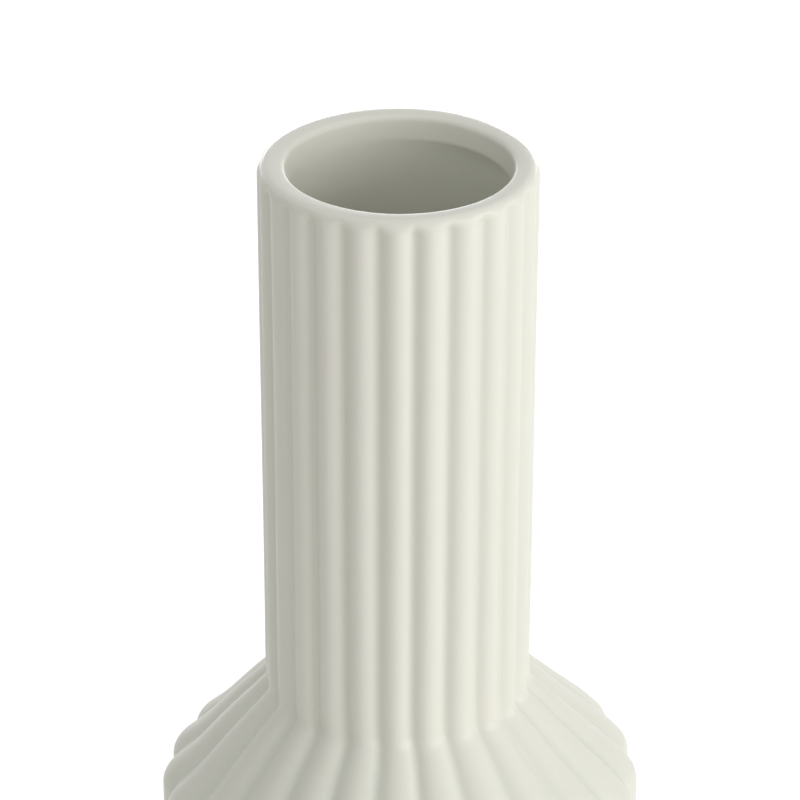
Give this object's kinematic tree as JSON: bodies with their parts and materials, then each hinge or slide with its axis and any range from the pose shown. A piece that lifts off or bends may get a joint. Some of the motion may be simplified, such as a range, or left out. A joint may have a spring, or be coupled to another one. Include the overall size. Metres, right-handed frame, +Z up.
{
  "type": "reeded bottle vase",
  "caption": "Reeded bottle vase in off-white glazed stoneware: straight ribbed neck on a ribbed conical shoulder and drum, hollow for stems and water, standing on felt pads.",
  "frame": {"origin": "on the surface that the vase stands on, under the middle of its foot", "axes": "+Z up along the vase's axis; -Y is the side that the picture shows, with a rib crest on each of X and Y"},
  "size_m": [0.132, 0.132, 0.305],
  "materials": {
    "white_glaze": "off-white satin-gloss glaze over stoneware",
    "felt": "pressed white felt",
    "adhesive_film": "milky double-sided adhesive film"
  },
  "bodies": {
    "root": {"vessel": "white_glaze", "foot_pad_1": "felt", "foot_pad_2": "felt", "foot_pad_3": "felt", "foot_pad_4": "felt", "pad_adhesive_1": "adhesive_film", "pad_adhesive_2": "adhesive_film", "pad_adhesive_3": "adhesive_film", "pad_adhesive_4": "adhesive_film"}
  },
  "joints": []
}
